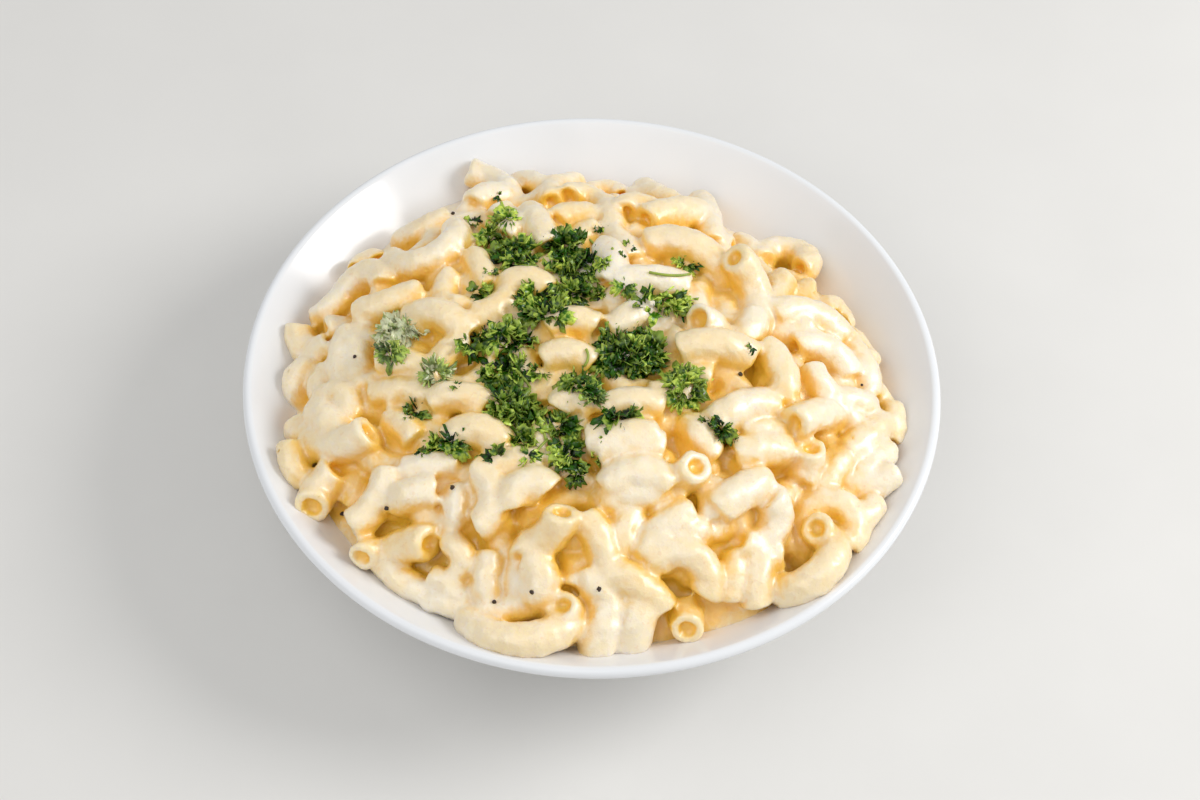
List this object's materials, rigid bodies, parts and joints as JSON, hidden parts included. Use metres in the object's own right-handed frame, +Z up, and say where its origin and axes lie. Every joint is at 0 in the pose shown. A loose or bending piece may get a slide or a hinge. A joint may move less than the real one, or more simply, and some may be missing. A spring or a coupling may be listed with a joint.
{
  "type": "bowl of macaroni and cheese",
  "caption": "Round white coupe bowl on a foot ring, heaped with elbow macaroni in cheese sauce and scattered with chopped parsley.",
  "frame": {"origin": "centre of the foot ring, on the surface that the bowl stands on", "axes": "+Z up out of the bowl; +Y away from the side that faces a diner, +X to the diner's right"},
  "size_m": [0.2, 0.2, 0.0662],
  "materials": {
    "glaze": "gloss",
    "cheese_macaroni": "satin",
    "parsley": "matte",
    "pepper": "matte"
  },
  "bodies": {
    "root": {"bowl": "glaze", "macaroni_heap": "cheese_macaroni"}
  },
  "joints": []
}
